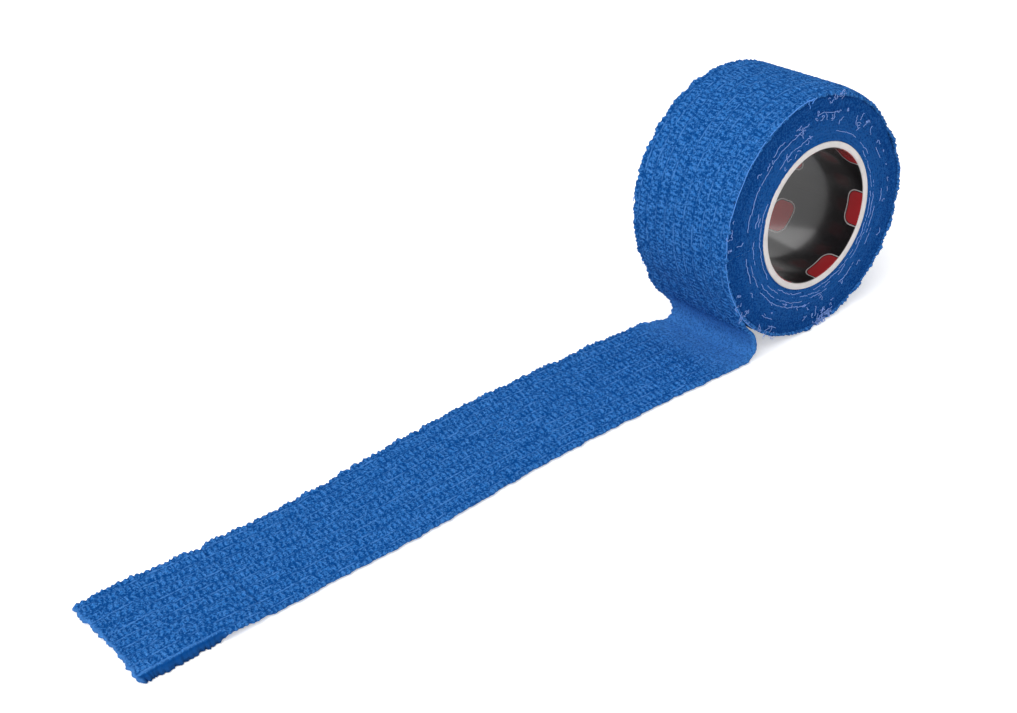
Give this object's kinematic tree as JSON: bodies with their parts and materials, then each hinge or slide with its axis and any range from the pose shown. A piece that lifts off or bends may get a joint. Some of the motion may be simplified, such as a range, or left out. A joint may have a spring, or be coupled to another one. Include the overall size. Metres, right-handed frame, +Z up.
{
  "type": "hand wrap",
  "caption": "Self-clinging elastic hand and finger wrap wound on a lined core tube, with a stretch of the tape unrolled flat along the table.",
  "frame": {"origin": "on the table, below the middle of the object's length and width", "axes": "+X from the laid tape's free end towards the roll, +Y along the roll's axis away from the front, +Z up"},
  "size_m": [0.1714, 0.025, 0.0491],
  "materials": {
    "face_web": "matte crimped nonwoven, blue",
    "back_web": "matte crimped nonwoven, blue",
    "elastic_yarn": "matte, pale blue",
    "core": "smooth satin, warm off-white",
    "liner": "smooth gloss, black"
  },
  "bodies": {
    "laid_tape": {"laid_back_web": "back_web", "laid_elastic_yarns": "elastic_yarn", "laid_face_web": "face_web"},
    "bend": {"bend_back_web": "back_web", "bend_elastic_yarns": "elastic_yarn", "bend_face_web": "face_web"},
    "roll": {"core_tube": "core", "core_liner": "liner", "coil_back_web": "back_web", "coil_elastic_yarns": "elastic_yarn", "coil_face_web": "face_web"},
    "free_end": {"end_back_web": "back_web", "end_elastic_yarns": "elastic_yarn", "end_face_web": "face_web"}
  },
  "joints": [
    {"name": "roll_travel", "type": "slide", "parent": "laid_tape", "child": "bend", "axis": [1, 0, 0], "range_m": [-0.06, 0.05], "deforming": ["laid_back_web", "laid_elastic_yarns", "laid_face_web"]},
    {"name": "roll_turn", "type": "hinge", "parent": "bend", "child": "roll", "pos_m": [0.06101, 0, 0.02427], "axis": [0, -1, 0], "range_deg": [-141.5, 117.5]},
    {"name": "free_end_lift", "type": "hinge", "parent": "laid_tape", "child": "free_end", "pos_m": [-0.06772, 0, 0.00058], "axis": [0, 1, 0], "range_deg": [0, 120]}
  ],
  "couplings": [
    {"joint": "roll_turn", "follows": "roll_travel", "rad_per_m": 40.8}
  ]
}
